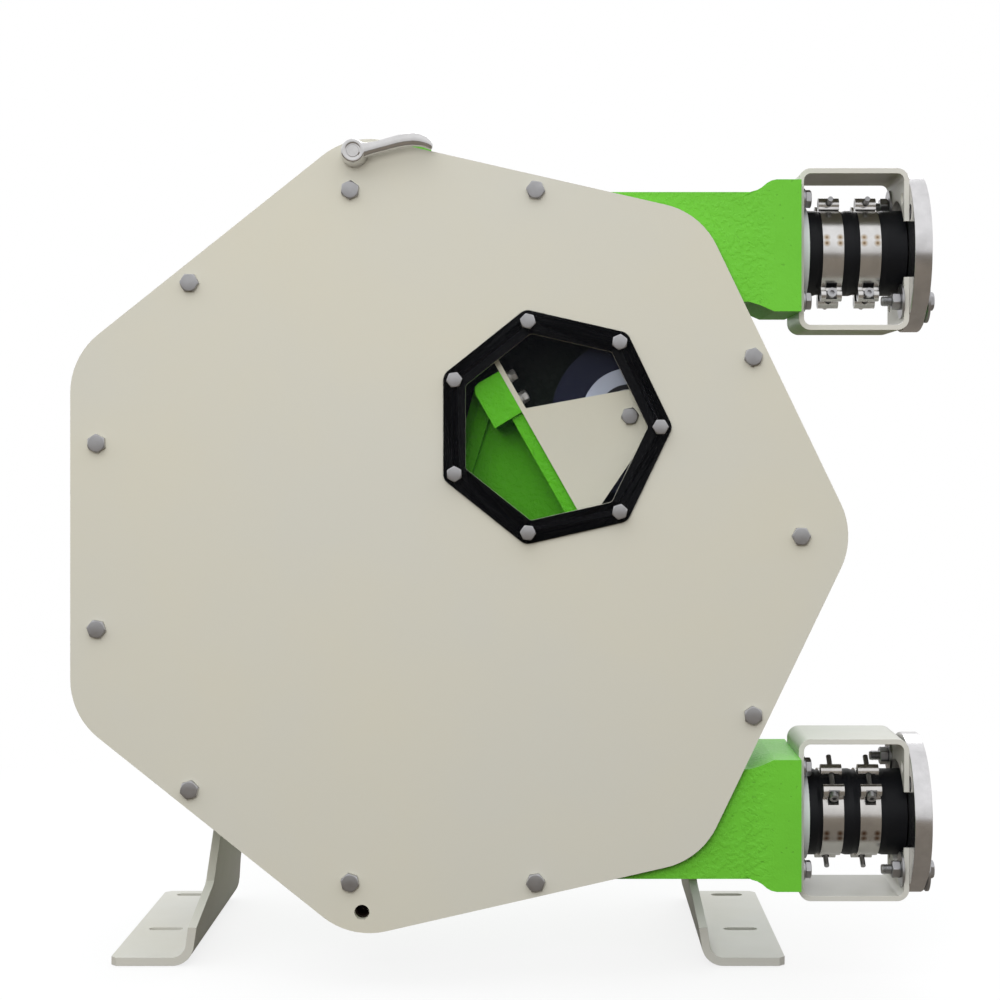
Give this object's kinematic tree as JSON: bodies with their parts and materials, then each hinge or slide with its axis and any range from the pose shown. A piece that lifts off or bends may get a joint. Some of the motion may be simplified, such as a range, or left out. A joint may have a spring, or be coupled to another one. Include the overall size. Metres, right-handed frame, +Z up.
{
  "type": "peristaltic hose pump",
  "caption": "Floor-standing peristaltic hose pump: round cast housing behind a seven-sided cover with a sight window, two rollers on a rotor, and flanged hose ports on one side.",
  "frame": {"origin": "centre of the four foot slots on the floor, straight under the rotor axis", "axes": "+X towards the ports, +Y from the cover towards the drive end, along the rotor axis, +Z up"},
  "size_m": [0.9861, 0.489, 0.9739],
  "materials": {
    "green_paint": "satin paint over rough cast iron",
    "cream_paint": "satin paint",
    "zinc_plated_steel": "zinc plated",
    "machined_steel": "turned",
    "stainless_steel": "satin",
    "black_rubber": "matt",
    "black_seal": "smooth",
    "clear_window": "clear, glossy",
    "grey_collar": "matt",
    "roller_polymer": "smooth",
    "polished_lever": "polished"
  },
  "bodies": {
    "pump": {"housing": "green_paint", "bearing_housing": "green_paint", "bearing_housing_bolts": "zinc_plated_steel", "shaft_bearings": "machined_steel", "shaft_seal": "black_seal", "bearing_cover": "green_paint", "bearing_cover_bolts": "zinc_plated_steel", "left_leg": "cream_paint", "right_leg": "cream_paint", "leg_bolts": "zinc_plated_steel", "front_cover": "cream_paint", "cover_gasket": "black_seal", "cover_bolts": "zinc_plated_steel", "window_gasket": "black_seal", "window_pane": "clear_window", "window_bolts": "stainless_steel", "pump_hose": "black_rubber", "upper_bracket": "cream_paint", "lower_bracket": "cream_paint", "bracket_bolts": "zinc_plated_steel", "bracket_washers": "zinc_plated_steel", "hose_collars": "grey_collar", "upper_hose_insert": "stainless_steel", "lower_hose_insert": "stainless_steel", "upper_flange": "machined_steel", "lower_flange": "machined_steel", "flange_bolts": "zinc_plated_steel", "flange_fender_washers": "zinc_plated_steel", "ear_washers": "zinc_plated_steel", "flange_nuts": "zinc_plated_steel", "upper_clamp_bands": "stainless_steel", "lower_clamp_bands": "stainless_steel", "clamp_trunnions": "stainless_steel", "clamp_screws": "stainless_steel"},
    "rotor": {"rotor": "green_paint", "drive_shaft": "machined_steel", "rotor_key": "machined_steel", "rotor_retaining_disc": "machined_steel", "rotor_retaining_screw": "zinc_plated_steel", "roller_plates": "cream_paint", "roller_plate_bolts": "zinc_plated_steel", "roller_axles": "machined_steel", "roller_axle_bolts": "zinc_plated_steel"},
    "first_roller": {"first_roller_tyre": "roller_polymer", "first_roller_hub": "machined_steel", "first_roller_bearings": "machined_steel"},
    "second_roller": {"second_roller_tyre": "roller_polymer", "second_roller_hub": "machined_steel", "second_roller_bearings": "machined_steel"},
    "lever": {"clamping_lever": "polished_lever", "lever_stud": "machined_steel", "lever_cap_screw": "polished_lever"}
  },
  "joints": [
    {"name": "rotor_turn", "type": "hinge", "parent": "pump", "child": "rotor", "pos_m": [0, -0.256, 0.516], "axis": [0, 1, 0], "continuous": true, "deforming": ["pump_hose"]},
    {"name": "first_roller_turn", "type": "hinge", "parent": "rotor", "child": "first_roller", "pos_m": [0.21246, -0.256, 0.6522], "axis": [0, 1, 0], "continuous": true},
    {"name": "second_roller_turn", "type": "hinge", "parent": "rotor", "child": "second_roller", "pos_m": [-0.21246, -0.256, 0.3798], "axis": [0, 1, 0], "continuous": true},
    {"name": "lever_turn", "type": "hinge", "parent": "pump", "child": "lever", "pos_m": [-0.09958, -0.346, 0.94838], "axis": [0, -1, 0], "range_deg": [-10, 170]}
  ],
  "couplings": [
    {"joint": "first_roller_turn", "follows": "rotor_turn", "ratio": -3.8198},
    {"joint": "second_roller_turn", "follows": "rotor_turn", "ratio": -3.8198}
  ]
}
